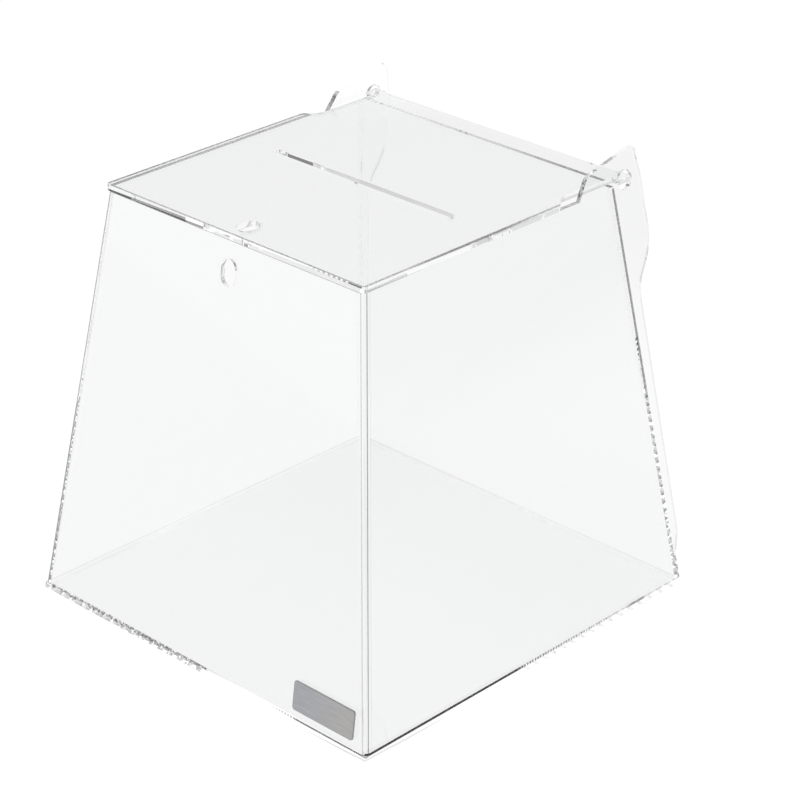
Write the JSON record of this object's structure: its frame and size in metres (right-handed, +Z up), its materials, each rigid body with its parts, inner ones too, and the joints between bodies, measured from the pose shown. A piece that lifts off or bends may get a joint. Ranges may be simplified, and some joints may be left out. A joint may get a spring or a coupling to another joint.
{
  "type": "ballot box",
  "caption": "Clear acrylic ballot box with leaning walls, a square base, a slotted flat lid that swings on its own tabs between tall ears, and oblong holes for a padlock.",
  "frame": {"origin": "centre of the floor plate's underside", "axes": "+X to the right seen from the front, +Y to the rear where the hinge is, +Z up"},
  "size_m": [0.3, 0.301, 0.308],
  "materials": {
    "clear_acrylic": "clear cast acrylic sheet, glossy faces, laser-cut edges",
    "label_metal": "satin silver, bare"
  },
  "bodies": {
    "box": {"front_and_sides": "clear_acrylic", "rear_wall": "clear_acrylic", "floor_plate": "clear_acrylic", "label_plate": "label_metal"},
    "lid": {"lid": "clear_acrylic"}
  },
  "joints": [
    {"name": "lid_hinge", "type": "hinge", "parent": "box", "child": "lid", "pos_m": [0, 0.1215, 0.288], "axis": [-1, 0, 0], "range_deg": [0, 264]}
  ]
}
